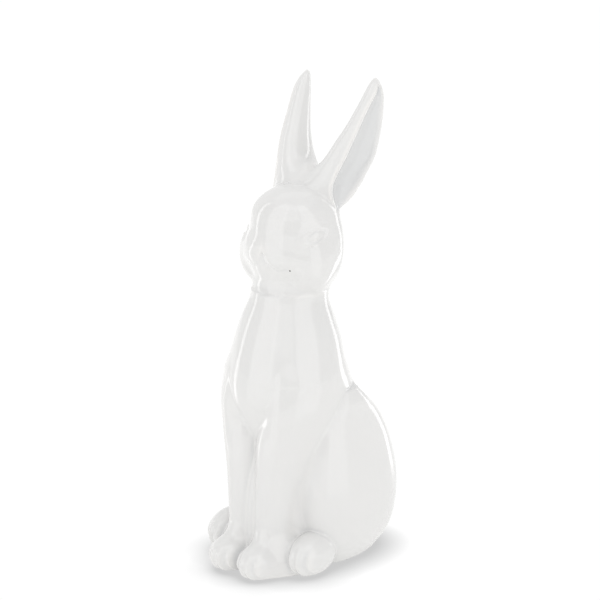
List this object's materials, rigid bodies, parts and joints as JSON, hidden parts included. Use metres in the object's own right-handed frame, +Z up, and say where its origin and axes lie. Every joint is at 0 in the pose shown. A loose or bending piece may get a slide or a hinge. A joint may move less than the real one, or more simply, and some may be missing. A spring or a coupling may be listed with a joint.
{
  "type": "ceramic rabbit figurine",
  "caption": "Sitting rabbit ornament in glossy white glazed ceramic, upright with tall ears apart, hollow cast in pieces and luted together, standing on felt pads.",
  "frame": {"origin": "on the table under the middle of the figure's bounding box, at the undersides of the felt pads", "axes": "+Z up to the ears, -Y where the rabbit faces, +X to the rabbit's own left"},
  "size_m": [0.1, 0.1354, 0.3007],
  "materials": {
    "glaze": "thick clear gloss glaze over white earthenware",
    "felt": "pressed wool felt"
  },
  "bodies": {
    "root": {"torso": "glaze", "head": "glaze", "ear_left": "glaze", "ear_right": "glaze", "foreleg_left": "glaze", "foreleg_right": "glaze", "haunch_left": "glaze", "haunch_right": "glaze", "hind_foot_left": "glaze", "hind_foot_right": "glaze", "tail": "glaze", "felt_pad_front_left": "felt", "felt_pad_front_right": "felt", "felt_pad_rear_left": "felt", "felt_pad_rear_right": "felt"}
  },
  "joints": []
}
